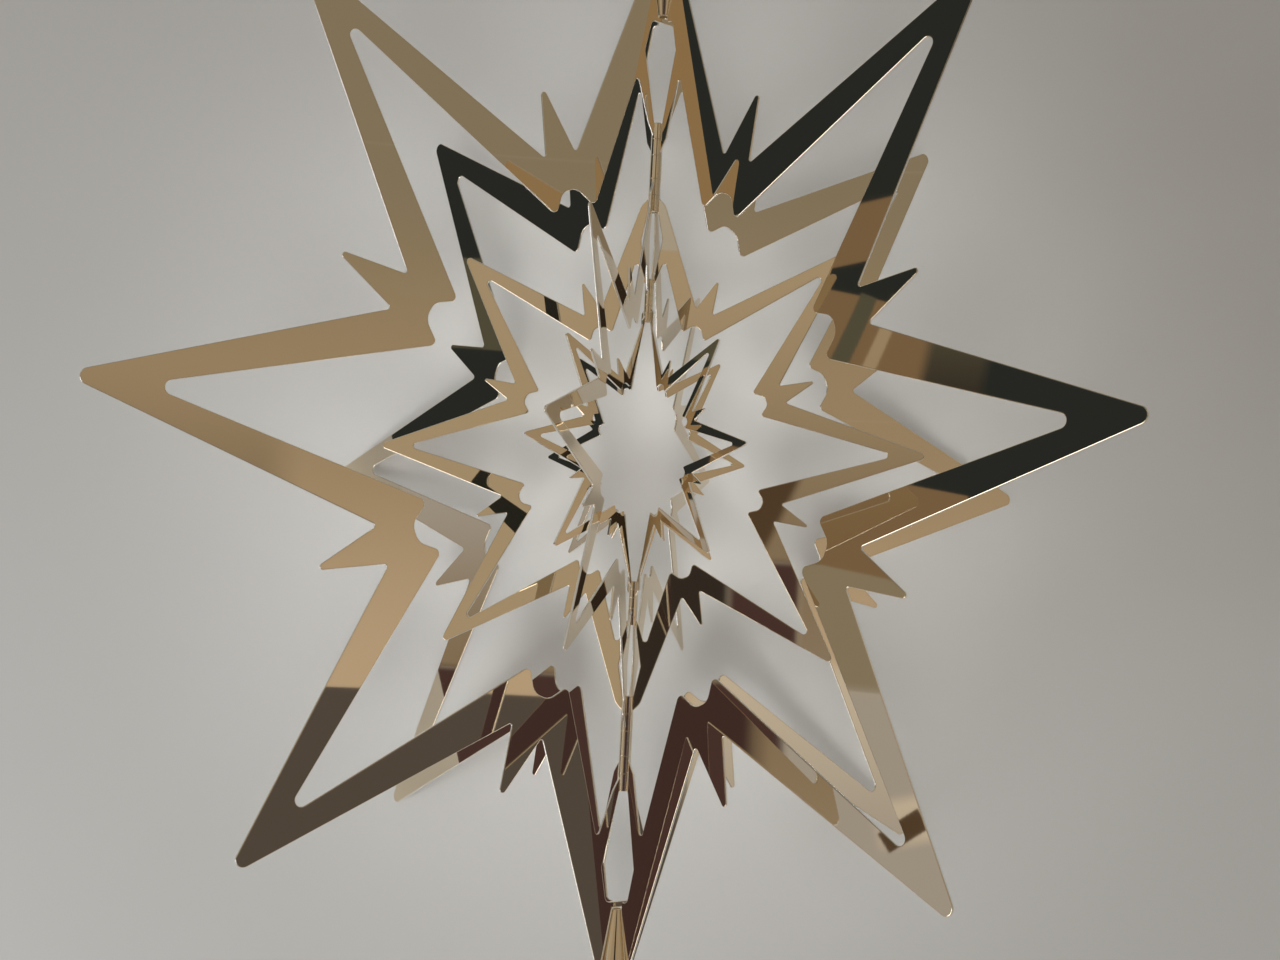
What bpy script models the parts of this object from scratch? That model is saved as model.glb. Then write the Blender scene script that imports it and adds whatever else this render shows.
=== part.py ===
"""Tree topper star: nested flat star plates of thin polished sheet, turning on one upright axis.

Each star is a pair of flat eight-pointed plates that cross on the axis. The plates carry rolled
eyes at the necks between one star and the next, and the eyes turn on short pins. The large star
ends in a conical ferrule at each pole, and the lower ferrule is the socket for the tree's shoot.
Sizes are in metres and the origin is the middle of the socket's mouth.
"""

import math
from dataclasses import dataclass

import bmesh
import bpy
from mathutils import Matrix, Vector

# Sheet and running clearances
SHEET = 0.0005
SEAT_GAP = 0.0003
PIN_CLEARANCE = 0.0003

# Outline of the large star's plate, as radii about the star's centre
LARGE_TIP_RADIUS = 0.120
TIP_ROUND = 0.0016
HOLE_RADIUS = 0.105
HOLE_ROUND = 0.0013
VALLEY_RADIUS = 0.0654
VALLEY_ROUND = 0.0005
SPIKE_RADIUS = 0.079
SPIKE_HALF_BASE = 0.00396
SPIKE_ROUND = 0.0007
LOBE_RADIUS = 0.0541
LOBE_REACH = 0.0058
LOBE_ROUND = 0.0013
NOTCH_RADIUS = 0.0578
NOTCH_MOUTH_HALF_WIDTH = 0.0046
NOTCH_LIP_ROUND = 0.0010
NOTCH_FLOOR_HALF_WIDTH = 0.0019
NOTCH_FLOOR_ROUND = 0.0030

# The smaller stars repeat the outline at these tip radii
MEDIUM_TIP_RADIUS = 0.061
SMALL_TIP_RADIUS = 0.0315
POINTS_ON_PLATE = 8

# How far each plate stands turned about the axis, from +X towards +Y
LARGE_TURNS = (44.0, 141.0)
MEDIUM_TURNS = (173.0, 81.5)
SMALL_TURNS = (49.0, 141.0)

# Conical ferrules at the poles of the large star
FERRULE_SETBACK = 0.0054
FERRULE_LENGTH = 0.0169
FERRULE_MOUTH_RADIUS = 0.0045
FERRULE_NARROW_RADIUS = 0.0013
FERRULE_WALL = 0.0005

# Windows on the axis, and the slim strips that close them towards the neck
LARGE_WINDOW_DROP = 0.0015
LARGE_WINDOW_SHOULDER = 0.0031
LARGE_WINDOW_HALF_WIDTH = 0.00465
LARGE_WINDOW_SIDE_DROP = 0.0072
LARGE_CROTCH_REACH = 0.0063
LARGE_CROTCH_DROP = 0.0131
MEDIUM_WINDOW_HALF_WIDTH = 0.0024
MEDIUM_WINDOW_SIDE_DROP = 0.0065
MEDIUM_CROTCH_REACH = 0.0032
MEDIUM_CROTCH_DROP = 0.0108
CROTCH_ROUND = 0.0005
WINDOW_ROUND = 0.0012

# Necks: eyes, spacer sleeve and pin between two stars
OUTER_PIN_RADIUS = 0.0005
OUTER_EYE_WALL = 0.0005
OUTER_EYE_LENGTH = 0.0034
OUTER_SLEEVE_LENGTH = 0.0050
OUTER_NECK_INSET = 0.0078
OUTER_STRIP_FOOT = 0.0015
INNER_PIN_RADIUS = 0.0003
INNER_EYE_WALL = 0.0004
INNER_EYE_LENGTH = 0.0015
INNER_SLEEVE_LENGTH = 0.0020
INNER_NECK_INSET = 0.0029
INNER_STRIP_FOOT = 0.0006

# How far inside its eye's ends a strip is joined, and how much of a side one rounding may use
EYE_BITE = 0.0002
ROUNDING_ROOM = 0.49

# Facets of the round stretches
LARGE_ARC_STEP = math.radians(30)
MEDIUM_ARC_STEP = math.radians(40)
SMALL_ARC_STEP = math.radians(45)
EYE_STEPS = 16
FERRULE_STEPS = 32
SMOOTH_ANGLE = math.radians(40)
SHALLOW_TURN = math.radians(8)
WELD = 1e-6

# Finish of the polished pale gold plating
PLATE_COLOUR = (0.83, 0.70, 0.50, 1.0)
PIN_COLOUR = (0.80, 0.68, 0.50, 1.0)
POLISHED_ROUGHNESS = 0.08
PIN_ROUGHNESS = 0.2

STAR_CENTRE_Z = LARGE_TIP_RADIUS - FERRULE_SETBACK
POINT_PITCH = 2 * math.pi / POINTS_ON_PLATE


@dataclass
class Neck:
    """A pin with four eyes and a spacer sleeve, stacked upwards from base on the axis."""

    base: float
    pin_radius: float
    eye_wall: float
    eye_length: float
    sleeve_length: float
    strip_foot: float

    @property
    def bore(self):
        return self.pin_radius + PIN_CLEARANCE

    @property
    def eye_radius(self):
        return self.bore + self.eye_wall

    @property
    def root(self):
        """Radius at which a strip ends inside the wall of its eye."""
        return self.bore + self.eye_wall / 2

    @property
    def passing(self):
        """Radius at which a strip runs past another plate's eye."""
        return self.eye_radius + SEAT_GAP

    def sleeve_span(self):
        low = self.base + 2 * (self.eye_length + SEAT_GAP)
        return low, low + self.sleeve_length

    def eye_span(self, slot):
        """Slots 0 and 1 belong to the inner star, 2 and 3 to the outer star."""
        low = self.base + slot * (self.eye_length + SEAT_GAP)
        if slot > 1:
            low += self.sleeve_length + SEAT_GAP
        return low, low + self.eye_length

    @property
    def top(self):
        return self.eye_span(3)[1]


OUTER_NECK = Neck(
    MEDIUM_TIP_RADIUS - OUTER_NECK_INSET,
    OUTER_PIN_RADIUS,
    OUTER_EYE_WALL,
    OUTER_EYE_LENGTH,
    OUTER_SLEEVE_LENGTH,
    OUTER_STRIP_FOOT,
)
INNER_NECK = Neck(
    SMALL_TIP_RADIUS - INNER_NECK_INSET,
    INNER_PIN_RADIUS,
    INNER_EYE_WALL,
    INNER_EYE_LENGTH,
    INNER_SLEEVE_LENGTH,
    INNER_STRIP_FOOT,
)


@dataclass
class Corner:
    """A corner of a flat outline, with the radius that rounds it."""

    at: Vector
    rounding: float = 0.0


def sharp_reach(reach, rounding, half_base, base):
    """Where the sides of a point meet, if its rounded end is at reach."""
    sharp = reach
    for _ in range(12):
        half_angle = math.atan2(half_base, sharp - base)
        sharp = reach + rounding * (1 / math.sin(half_angle) - 1)
    return sharp


def on_ray(angle, along, across):
    """The point that lies along a ray from the star's centre and across it, anticlockwise."""
    ray = Vector((math.cos(angle), math.sin(angle)))
    return ray * along + Vector((-ray.y, ray.x)) * across


def meeting(first, second, third, fourth):
    """Where the line through first and second meets the line through third and fourth."""
    one = second - first
    two = fourth - third
    share = (third - first).cross(two) / one.cross(two)
    return first + one * share


class StarOutline:
    """The zigzag outline of a plate's half, scaled to a tip radius."""

    def __init__(self, tip_radius):
        self.scale = tip_radius / LARGE_TIP_RADIUS
        to_valley = POINT_PITCH / 2
        valley_turn = to_valley - math.asin(SPIKE_HALF_BASE / VALLEY_RADIUS)
        self.valley_half = VALLEY_RADIUS * math.sin(valley_turn)
        self.valley_along = VALLEY_RADIUS * math.cos(valley_turn)
        lobe_radius = math.hypot(LOBE_RADIUS, LOBE_REACH)
        lobe_turn = to_valley - math.atan2(LOBE_REACH, LOBE_RADIUS)
        lobe_half = lobe_radius * math.sin(lobe_turn)
        lobe_along = lobe_radius * math.cos(lobe_turn)
        self.tip = sharp_reach(LARGE_TIP_RADIUS, TIP_ROUND, self.valley_half, self.valley_along)
        self.hole = sharp_reach(HOLE_RADIUS, HOLE_ROUND, lobe_half, lobe_along)
        spike_base = math.sqrt(VALLEY_RADIUS**2 - SPIKE_HALF_BASE**2)
        self.spike = sharp_reach(SPIKE_RADIUS, SPIKE_ROUND, SPIKE_HALF_BASE, spike_base)
        self.spike_base = spike_base

    def corner(self, angle, along, across, rounding):
        return Corner(on_ray(angle, along, across) * self.scale, rounding * self.scale)

    def tip_corner(self, angle):
        return [self.corner(angle, self.tip, 0, TIP_ROUND)]

    def hole_corner(self, angle):
        return [self.corner(angle, self.hole, 0, HOLE_ROUND)]

    def spike_corners(self, angle):
        """The spike between two points, from the anticlockwise valley to the clockwise one."""
        return [
            self.corner(angle, self.spike_base, SPIKE_HALF_BASE, VALLEY_ROUND),
            self.corner(angle, self.spike, 0, SPIKE_ROUND),
            self.corner(angle, self.spike_base, -SPIKE_HALF_BASE, VALLEY_ROUND),
        ]

    def lobe_corners(self, angle):
        """The two lobes behind a spike and the notch between them, wider at its mouth."""
        half = [
            (LOBE_RADIUS, LOBE_REACH, LOBE_ROUND),
            (LOBE_RADIUS, NOTCH_MOUTH_HALF_WIDTH, NOTCH_LIP_ROUND),
            (NOTCH_RADIUS, NOTCH_FLOOR_HALF_WIDTH, NOTCH_FLOOR_ROUND),
        ]
        left = [self.corner(angle, along, across, r) for along, across, r in half]
        right = [self.corner(angle, along, -across, r) for along, across, r in reversed(half)]
        return left + right

    def edge_at(self, reach):
        """The point on the upper pole's outer edge that lies at reach from the axis."""
        tip = Vector((0, self.tip)) * self.scale
        valley = on_ray(math.pi / 2, self.valley_along, -self.valley_half) * self.scale
        return tip.lerp(valley, reach / valley.x)


def rise_to_eye(neck, slot):
    """Corners of an inner star's pole, from its inner edge to its eye and out to its outer edge."""
    low, high = neck.eye_span(slot)
    if slot == 0:
        return [Vector((neck.root, low + EYE_BITE)), Vector((neck.root, high - EYE_BITE))]
    start = neck.eye_span(0)[0] - SEAT_GAP
    return [
        Vector((neck.passing, start)),
        Vector((neck.passing, low + EYE_BITE)),
        Vector((neck.root, low + EYE_BITE)),
        Vector((neck.root, high - EYE_BITE)),
    ]


def shoulder_of_pole(neck, slot, outline):
    """Corners from the eye of an inner star's pole to the pole's outer edge."""
    inner = neck.eye_radius if slot == 0 else neck.passing
    reach = inner + neck.strip_foot
    edge = outline.edge_at(reach)
    foot = Vector((reach, neck.eye_span(slot)[0]))
    return [foot, edge] if foot.y > edge.y else [edge]


def fall_to_eye(neck, slot, crotch):
    """Corners of an outer star's closing strip, from its crotch to its eye and up its window."""
    low, high = neck.eye_span(slot)
    inner = neck.eye_radius if slot == 3 else neck.passing
    corners = [
        crotch,
        Vector((inner + neck.strip_foot, high)),
        Vector((neck.root, low + EYE_BITE)),
        Vector((neck.root, high - EYE_BITE)),
    ]
    if slot < 3:
        corners.append(Vector((neck.passing, high - EYE_BITE)))
        corners.append(Vector((neck.passing, neck.top + SEAT_GAP)))
    return corners


def plain(points, rounding=0.0):
    return [Corner(point, rounding) for point in points]


def ferrule_radius(height):
    """Outer radius of the upper ferrule at a height above the star's centre."""
    mouth = STAR_CENTRE_Z
    taper = (FERRULE_MOUTH_RADIUS - FERRULE_NARROW_RADIUS) / FERRULE_LENGTH
    return FERRULE_MOUTH_RADIUS - taper * (mouth - height)


def pole_foot(plate, window_top, narrow):
    """Inner end of a large pole: plate a runs on as a bar across the axis, plate b stops short."""
    reach = FERRULE_NARROW_RADIUS + SEAT_GAP
    if plate:
        return [Vector((reach, window_top))]
    bar_top = narrow - SEAT_GAP
    return [Vector((0, window_top)), Vector((0, bar_top)), Vector((reach, bar_top))]


def large_pole(outline, plate):
    """Corners of the large star's upper pole, from the crotch of the closing strip outwards."""
    narrow = STAR_CENTRE_Z - FERRULE_LENGTH
    window_top = narrow - LARGE_WINDOW_DROP
    crotch = Vector((LARGE_CROTCH_REACH, window_top - LARGE_CROTCH_DROP))
    fall = fall_to_eye(OUTER_NECK, 3 - plate, crotch)
    side = Vector((LARGE_WINDOW_HALF_WIDTH, window_top - LARGE_WINDOW_SIDE_DROP))
    shoulder = Vector((LARGE_WINDOW_SHOULDER, window_top))
    foot = pole_foot(plate, window_top, narrow)
    seat_low = Vector((ferrule_radius(narrow) + SEAT_GAP, narrow))
    seat_high = Vector((ferrule_radius(STAR_CENTRE_Z) + SEAT_GAP, STAR_CENTRE_Z))
    end = meeting(seat_low, seat_high, outline.edge_at(0), outline.edge_at(FERRULE_MOUTH_RADIUS))
    return (
        [Corner(crotch, CROTCH_ROUND)]
        + plain(fall[1:])
        + [Corner(side, WINDOW_ROUND), Corner(shoulder, WINDOW_ROUND)]
        + plain(foot + [seat_low, end])
    )


def medium_pole(outline, plate):
    """Corners of the medium star's upper pole, with its window between two necks."""
    window_top = OUTER_NECK.base
    crotch = Vector((MEDIUM_CROTCH_REACH, window_top - MEDIUM_CROTCH_DROP))
    fall = fall_to_eye(INNER_NECK, 3 - plate, crotch)
    side = Vector((MEDIUM_WINDOW_HALF_WIDTH, window_top - MEDIUM_WINDOW_SIDE_DROP))
    return (
        [Corner(crotch, CROTCH_ROUND)]
        + plain(fall[1:])
        + [Corner(side, WINDOW_ROUND)]
        + plain(rise_to_eye(OUTER_NECK, plate))
        + plain(shoulder_of_pole(OUTER_NECK, plate, outline))
    )


def small_pole(outline, plate):
    """Corners of the small star's upper pole, whose strips part straight below the neck."""
    return plain(
        rise_to_eye(INNER_NECK, plate) + shoulder_of_pole(INNER_NECK, plate, outline)
    )


def half_plate(outline, pole):
    """The closed outline of the plate's half at +X, clockwise from the upper pole's outer edge."""
    outer = []
    inner = []
    points_on_half = POINTS_ON_PLATE // 2
    for index in range(points_on_half):
        valley = math.pi / 2 - POINT_PITCH * (index + 0.5)
        outer += outline.spike_corners(valley)
        inner += outline.lobe_corners(valley)
        if index < points_on_half - 1:
            outer += outline.tip_corner(valley - POINT_PITCH / 2)
            inner += outline.hole_corner(valley - POINT_PITCH / 2)
    lower_pole = [Corner(Vector((c.at.x, -c.at.y)), c.rounding) for c in reversed(pole)]
    return pole + outer + lower_pole + inner[::-1]


def rounded(corners, arc_step):
    """The outline's points, each rounded corner as an arc that its sides leave room for."""
    points = []
    for index, corner in enumerate(corners):
        before = corners[index - 1].at - corner.at
        after = corners[(index + 1) % len(corners)].at - corner.at
        opening = before.angle(after)
        turn = math.pi - opening
        room = ROUNDING_ROOM * min(before.length, after.length)
        radius = min(corner.rounding, room * math.tan(opening / 2))
        if radius < WELD or turn < SHALLOW_TURN:
            points.append(corner.at)
            continue
        middle = (before.normalized() + after.normalized()).normalized()
        centre = corner.at + middle * (radius / math.sin(opening / 2))
        side = math.copysign(1, before.cross(after))
        steps = max(1, math.ceil(turn / arc_step))
        for step in range(steps + 1):
            swing = side * turn * (step / steps - 0.5)
            points.append(centre - (Matrix.Rotation(-swing, 2) @ middle) * radius)
    return points


def new_collection(name, shown=True):
    collection = bpy.data.collections.new(name)
    bpy.context.scene.collection.children.link(collection)
    collection.hide_render = not shown
    return collection


def polished(name, colour, roughness):
    """A plated metal finish of one colour."""
    material = bpy.data.materials.new(name)
    material.use_nodes = True
    shader = material.node_tree.nodes["Principled BSDF"]
    shader.inputs["Base Color"].default_value = colour
    shader.inputs["Metallic"].default_value = 1.0
    shader.inputs["Roughness"].default_value = roughness
    return material


def sheet_mesh(name, outline_points):
    """Flat sheet cut to a half's outline and mirrored over the axis, standing in the XZ plane."""
    curve = bpy.data.curves.new(name, "CURVE")
    curve.dimensions = "2D"
    curve.fill_mode = "BOTH"
    curve.extrude = SHEET / 2
    spline = curve.splines.new("POLY")
    spline.points.add(len(outline_points) - 1)
    for point, at in zip(spline.points, outline_points):
        point.co = (at.x, at.y, 0, 1)
    spline.use_cyclic_u = True
    cut = bpy.data.objects.new(name, curve)
    bpy.context.scene.collection.objects.link(cut)
    graph = bpy.context.evaluated_depsgraph_get()
    mesh = bpy.data.meshes.new_from_object(cut.evaluated_get(graph))
    bpy.data.objects.remove(cut)
    bpy.data.curves.remove(curve)
    body = bmesh.new()
    body.from_mesh(mesh)
    bmesh.ops.remove_doubles(body, verts=body.verts, dist=WELD)
    on_axis_walls = [f for f in body.faces if all(abs(v.co.x) < WELD for v in f.verts)]
    bmesh.ops.delete(body, geom=on_axis_walls, context="FACES_ONLY")
    half = body.verts[:] + body.edges[:] + body.faces[:]
    bmesh.ops.mirror(body, geom=half, axis="X", merge_dist=WELD)
    bmesh.ops.recalc_face_normals(body, faces=body.faces)
    body.to_mesh(mesh)
    body.free()
    mesh.transform(Matrix.Rotation(math.pi / 2, 4, "X"))
    return mesh


def turned(name, profiles, closed, steps, collection):
    """Profiles of radius and height, turned about the axis by a Screw modifier."""
    verts = []
    edges = []
    for profile in profiles:
        first = len(verts)
        verts += [(radius, 0, height) for radius, height in profile]
        edges += [(first + i, first + i + 1) for i in range(len(profile) - 1)]
        if closed:
            edges.append((len(verts) - 1, first))
    mesh = bpy.data.meshes.new(name)
    mesh.from_pydata(verts, edges, [])
    piece = bpy.data.objects.new(name, mesh)
    collection.objects.link(piece)
    screw = piece.modifiers.new("turn", "SCREW")
    screw.steps = steps
    screw.render_steps = steps
    screw.use_merge_vertices = True
    screw.merge_threshold = WELD
    screw.use_smooth_shade = False
    return piece


def tube_profile(inner, outer, span):
    low, high = span
    return [(outer, high), (outer, low), (inner, low), (inner, high)]


def both_ways(span):
    """A span above the star's centre and its mirror image below."""
    low, high = span
    return [(low, high), (-high, -low)]


def smooth(piece):
    piece.data.shade_smooth()
    piece.data.set_sharp_from_angle(angle=SMOOTH_ANGLE)


for leftover in list(bpy.data.objects):
    bpy.data.objects.remove(leftover)

star = new_collection("tree_topper_star")
blanks = new_collection("eye_blanks", shown=False)

axis = bpy.data.objects.new("star_axis", None)
axis.location.z = STAR_CENTRE_Z
star.objects.link(axis)


def flat_plate(name, outline, pole, eyes, turn, arc_step):
    """A star plate with its rolled eyes, turned about the axis."""
    points = rounded(half_plate(outline, pole), arc_step)
    plate = bpy.data.objects.new(name, sheet_mesh(name, points))
    star.objects.link(plate)
    profiles = []
    for neck, slot in eyes:
        for span in both_ways(neck.eye_span(slot)):
            profiles.append(tube_profile(neck.bore, neck.eye_radius, span))
    rolled = turned(name + "_eyes", profiles, True, EYE_STEPS, blanks)
    rolled.hide_render = True
    rolled.display_type = "WIRE"
    join = plate.modifiers.new("rolled_eyes", "BOOLEAN")
    join.operation = "UNION"
    join.solver = "EXACT"
    join.object = rolled
    for piece in (plate, rolled):
        piece.parent = axis
        piece.rotation_euler.z = math.radians(turn)
    plate.data.materials.append(polished(name, PLATE_COLOUR, POLISHED_ROUGHNESS))


def on_axis(name, profile, closed, steps, colour, roughness):
    """A turned piece on the star's axis."""
    piece = turned(name, [profile], closed, steps, star)
    piece.modifiers["turn"].use_smooth_shade = True
    smooth(piece)
    piece.parent = axis
    piece.data.materials.append(polished(name, colour, roughness))


# The six star plates, two to a star
large_outline = StarOutline(LARGE_TIP_RADIUS)
medium_outline = StarOutline(MEDIUM_TIP_RADIUS)
small_outline = StarOutline(SMALL_TIP_RADIUS)
for plate, letter in enumerate("ab"):
    flat_plate(
        "large_plate_" + letter,
        large_outline,
        large_pole(large_outline, plate),
        [(OUTER_NECK, 3 - plate)],
        LARGE_TURNS[plate],
        LARGE_ARC_STEP,
    )
    flat_plate(
        "medium_plate_" + letter,
        medium_outline,
        medium_pole(medium_outline, plate),
        [(OUTER_NECK, plate), (INNER_NECK, 3 - plate)],
        MEDIUM_TURNS[plate],
        MEDIUM_ARC_STEP,
    )
    flat_plate(
        "small_plate_" + letter,
        small_outline,
        small_pole(small_outline, plate),
        [(INNER_NECK, plate)],
        SMALL_TURNS[plate],
        SMALL_ARC_STEP,
    )

# Pins and spacer sleeves in the four necks
for neck, where in ((OUTER_NECK, "outer"), (INNER_NECK, "inner")):
    pin_spans = both_ways((neck.base, neck.top))
    sleeve_spans = both_ways(neck.sleeve_span())
    for side, pin_span, sleeve_span in zip(("upper", "lower"), pin_spans, sleeve_spans):
        low, high = pin_span
        pin = [(0, high), (neck.pin_radius, high), (neck.pin_radius, low), (0, low)]
        on_axis(f"{side}_{where}_pin", pin, False, EYE_STEPS, PIN_COLOUR, PIN_ROUGHNESS)
        sleeve = tube_profile(neck.bore, neck.eye_radius, sleeve_span)
        on_axis(f"{side}_{where}_sleeve", sleeve, True, EYE_STEPS, PLATE_COLOUR, POLISHED_ROUGHNESS)

# The ferrules at the poles: the lower one takes the tree's shoot
for name, up in (("top_ferrule", 1), ("tree_socket", -1)):
    mouth = STAR_CENTRE_Z * up
    narrow = (STAR_CENTRE_Z - FERRULE_LENGTH) * up
    outside = [(FERRULE_MOUTH_RADIUS, mouth), (FERRULE_NARROW_RADIUS, narrow)]
    inside = [(radius - FERRULE_WALL, height) for radius, height in reversed(outside)]
    cone = outside + inside
    on_axis(name, cone if up > 0 else cone[::-1], True, FERRULE_STEPS, PLATE_COLOUR, POLISHED_ROUGHNESS)
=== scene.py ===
import math

import bmesh
import bpy
from mathutils import Matrix, Vector


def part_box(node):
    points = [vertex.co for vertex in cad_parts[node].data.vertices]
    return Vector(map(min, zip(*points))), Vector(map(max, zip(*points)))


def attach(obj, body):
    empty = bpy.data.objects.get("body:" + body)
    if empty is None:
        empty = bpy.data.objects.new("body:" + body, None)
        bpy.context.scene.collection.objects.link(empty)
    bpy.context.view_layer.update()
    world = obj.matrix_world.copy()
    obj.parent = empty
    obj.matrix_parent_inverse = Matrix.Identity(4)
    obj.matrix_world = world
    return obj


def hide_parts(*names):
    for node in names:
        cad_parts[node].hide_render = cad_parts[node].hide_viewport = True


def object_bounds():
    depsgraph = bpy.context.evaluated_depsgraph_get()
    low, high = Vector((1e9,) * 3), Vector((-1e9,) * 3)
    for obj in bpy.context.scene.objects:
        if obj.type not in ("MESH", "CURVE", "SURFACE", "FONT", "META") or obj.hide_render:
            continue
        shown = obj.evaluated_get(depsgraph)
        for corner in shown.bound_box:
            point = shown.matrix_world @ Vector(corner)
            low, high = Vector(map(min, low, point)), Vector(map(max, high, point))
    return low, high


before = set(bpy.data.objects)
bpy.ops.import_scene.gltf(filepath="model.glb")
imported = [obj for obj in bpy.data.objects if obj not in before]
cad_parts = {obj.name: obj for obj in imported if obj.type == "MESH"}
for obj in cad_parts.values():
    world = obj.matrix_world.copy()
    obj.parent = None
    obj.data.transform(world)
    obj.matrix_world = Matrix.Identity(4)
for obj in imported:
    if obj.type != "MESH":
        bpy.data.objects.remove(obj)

cad_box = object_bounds()

# Large star: two flat eight-pointed plates, cut from thin brass sheet and plated a mirror-bright
# pale gold. They cross on the upright axis, where slim strips close each point's window and run
# to an eye. The ferrules sit between the plates at the poles.

CENTRE = Vector((0, 0, (cad_box[0][2] + cad_box[1][2]) / 2))
SHEET = 0.0005
EDGE_SOFTENING = 0.00018
EDGE_SEGMENTS = 3
EDGE_ANGLE = math.radians(50)
SEAT_GAP = 0.0003
EYE_BITE = 0.0002
WELD = 0.000002
LEAST_ROUNDING = 0.00002
ARC_STEPS = 9


class Wire:
    """A socket of a node tree, with arithmetic that adds Math nodes."""

    def __init__(self, tree, socket=None):
        self.tree = tree
        self.socket = socket

    def node(self, kind, inputs=None, out=0, choices=0, **settings):
        """Adds a node of any kind, with its settings first, and gives one of its outputs."""
        made = self.tree.nodes.new(kind)
        for name, value in settings.items():
            setattr(made, name, value)
        for _ in range(choices - 2):
            made.index_switch_items.new()
        for name, value in (inputs or {}).items():
            self.plug(made.inputs[name], value)
        return Wire(self.tree, made.outputs[out])

    def plug(self, socket, value):
        """Links a wire to a socket, or sets the socket to a plain value."""
        if isinstance(value, Wire):
            self.tree.links.new(value.socket, socket)
        else:
            socket.default_value = value

    def math(self, operation, first, second=0.0):
        return self.node("ShaderNodeMath", {0: first, 1: second}, operation=operation)

    def mix(self, factor, first, second):
        """Blends two colours."""
        return self.node("ShaderNodeMix", {0: factor, 6: first, 7: second}, out=2, data_type="RGBA")

    def whole(self, operation, second):
        return self.node("FunctionNodeIntegerMath", {0: self, 1: second}, operation=operation)

    def __add__(self, other):
        return self.math("ADD", self, other)

    def __radd__(self, other):
        return self.math("ADD", other, self)

    def __sub__(self, other):
        return self.math("SUBTRACT", self, other)

    def __rsub__(self, other):
        return self.math("SUBTRACT", other, self)

    def __mul__(self, other):
        return self.math("MULTIPLY", self, other)

    def __rmul__(self, other):
        return self.math("MULTIPLY", other, self)


SHEET_ROUGHNESS = 0.008
FLAT_LEAF_WAVE = 0.00003
BENT_LEAF_WAVE = 0.0002


def gold_plating(name, roughness=SHEET_ROUGHNESS, wave=FLAT_LEAF_WAVE):
    """Champagne plating: polishing lines, a slow wave in the sheet, smudges, and cut edges tinted near
    white as a painted highlight.
    """
    champagne = (0.83, 0.72, 0.56, 1)
    deeper = (0.80, 0.68, 0.50, 1)
    # Painted highlight: the cut edges get a near-white tint so that the lines of light along them read
    # whiter.
    painted_edge_highlight = (0.95, 0.92, 0.86, 1)
    line_depth = 0.0000001
    line_scale = (2600.0, 2600.0, 90.0)
    smudge_scale = 38.0
    sway_scale = 16.0
    smudge_dulling = 0.02
    cut_dulling = 0.12
    material = bpy.data.materials.new(name)
    material.use_nodes = True
    shader = material.node_tree.nodes["Principled BSDF"]
    wire = Wire(material.node_tree)
    place = wire.node("ShaderNodeTexCoord", out="Object")
    smudge = wire.node("ShaderNodeTexNoise", {"Vector": place, "Scale": smudge_scale, "Detail": 4.0})
    sway = wire.node("ShaderNodeTexNoise", {"Vector": place, "Scale": sway_scale, "Detail": 1.0})
    along = wire.node("ShaderNodeMapping", {"Vector": place, "Scale": line_scale})
    lines = wire.node("ShaderNodeTexNoise", {"Vector": along, "Scale": 1.0, "Detail": 2.0})
    cut = wire.node("ShaderNodeAttribute", attribute_name="cut_edge", out="Fac")
    tone = wire.mix(cut, wire.mix(smudge, champagne, deeper), painted_edge_highlight)
    height = sway * wave + lines * line_depth
    bump = wire.node("ShaderNodeBump", {"Height": height, "Distance": 1.0})
    wire.plug(shader.inputs["Base Color"], tone)
    dulling = smudge * smudge_dulling + cut * cut_dulling
    wire.plug(shader.inputs["Roughness"], dulling + roughness)
    wire.plug(shader.inputs["Normal"], bump)
    shader.inputs["Metallic"].default_value = 1.0
    return material


def plain_mesh(name, holder):
    """The evaluated result of a holder's node tree, as a mesh of its own in the holder's place."""
    graph = bpy.context.evaluated_depsgraph_get()
    mesh = bpy.data.meshes.new_from_object(holder.evaluated_get(graph))
    mesh.name = name
    bpy.data.objects.remove(holder)
    piece = bpy.data.objects.new(name, mesh)
    bpy.context.scene.collection.objects.link(piece)
    return piece


def grown(name, tree, points, attributes, sizes):
    """Runs a node tree on loose points that carry attributes, with the tree's named sizes set."""
    mesh = bpy.data.meshes.new(name)
    mesh.from_pydata(points, [], [])
    for label, values in attributes.items():
        layer = mesh.attributes.new(label, "FLOAT", "POINT")
        layer.data.foreach_set("value", values)
    holder = bpy.data.objects.new(name, mesh)
    bpy.context.scene.collection.objects.link(holder)
    modifier = holder.modifiers.new("grow", "NODES")
    modifier.node_group = tree
    for item in tree.interface.items_tree:
        if item.in_out == "INPUT" and item.name in sizes:
            modifier[item.identifier] = sizes[item.name]
    return plain_mesh(name, holder)


def new_tree(name, sizes, counts=()):
    """A geometry tree with a mesh in, a mesh out, named sizes, named counts and a finish."""
    tree = bpy.data.node_groups.new(name, "GeometryNodeTree")
    tree.interface.new_socket("Mesh", in_out="INPUT", socket_type="NodeSocketGeometry")
    for size in sizes:
        tree.interface.new_socket(size, in_out="INPUT", socket_type="NodeSocketFloat")
    for count in counts:
        tree.interface.new_socket(count, in_out="INPUT", socket_type="NodeSocketInt")
    tree.interface.new_socket("Finish", in_out="INPUT", socket_type="NodeSocketMaterial")
    tree.interface.new_socket("Mesh", in_out="OUTPUT", socket_type="NodeSocketGeometry")
    tree.is_modifier = True
    given = tree.nodes.new("NodeGroupInput").outputs
    return tree, {socket.name: Wire(tree, socket) for socket in given if socket.name}


def close_tree(wire, geometry, finish):
    """Ends a tree in Realize Instances and Set Material."""
    solid = wire.node("GeometryNodeRealizeInstances", {"Geometry": geometry})
    solid = wire.node("GeometryNodeMergeByDistance", {"Geometry": solid, "Distance": WELD})
    dressed = wire.node("GeometryNodeSetMaterial", {"Geometry": solid, "Material": finish})
    output = wire.tree.nodes.new("NodeGroupOutput")
    wire.plug(output.inputs["Mesh"], dressed)


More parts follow.
